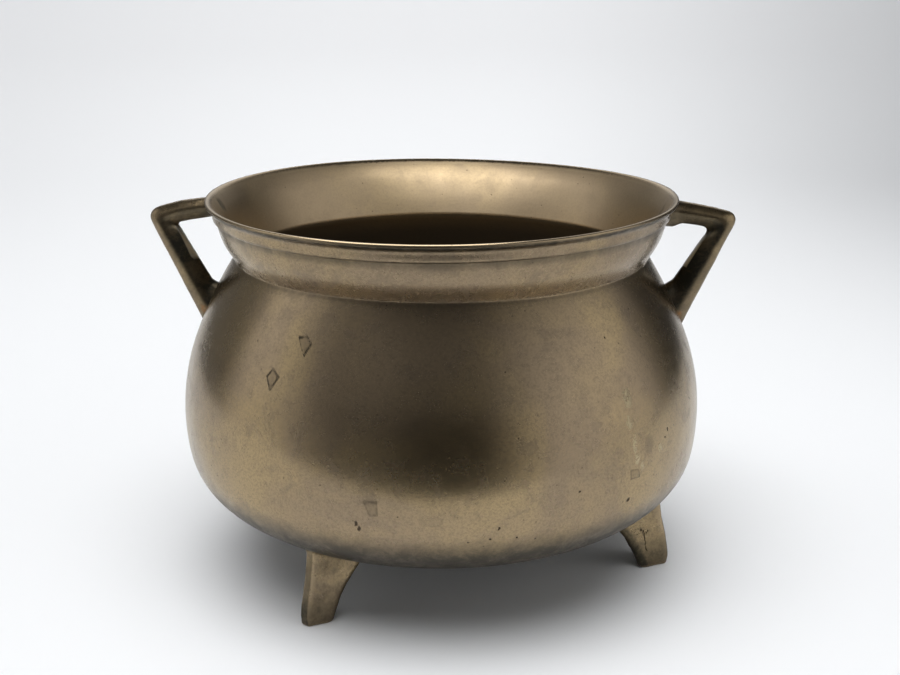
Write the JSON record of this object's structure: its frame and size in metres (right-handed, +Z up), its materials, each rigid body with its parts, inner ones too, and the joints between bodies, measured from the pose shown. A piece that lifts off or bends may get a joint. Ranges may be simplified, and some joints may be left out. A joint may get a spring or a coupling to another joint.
{
  "type": "three-legged cauldron",
  "caption": "Round-bottomed cast bronze cooking pot with a flared neck, a stepped rim, angular elbow handles for a bail and short tapering legs; made to stand in or hang over a fire.",
  "frame": {"origin": "on the pot's axis, at the level of the soles that it stands on", "axes": "+Z up along the pot's axis, X through the two handles, -Y towards the side between the front left leg and the right leg"},
  "size_m": [0.3441, 0.308, 0.227],
  "materials": {
    "bronze": "satin, worn brown patina on cast bell metal",
    "chaplet_metal": "darker, slightly rough inset plates"
  },
  "bodies": {
    "root": {"pot_body": "bronze", "handle_left": "bronze", "handle_right": "bronze", "leg_front_left": "bronze", "leg_right": "bronze", "leg_back": "bronze", "chaplet_kite": "chaplet_metal", "chaplet_diamond": "chaplet_metal", "chaplet_square": "chaplet_metal", "chaplet_wedge": "chaplet_metal", "chaplets_far_side": "chaplet_metal"}
  },
  "joints": []
}
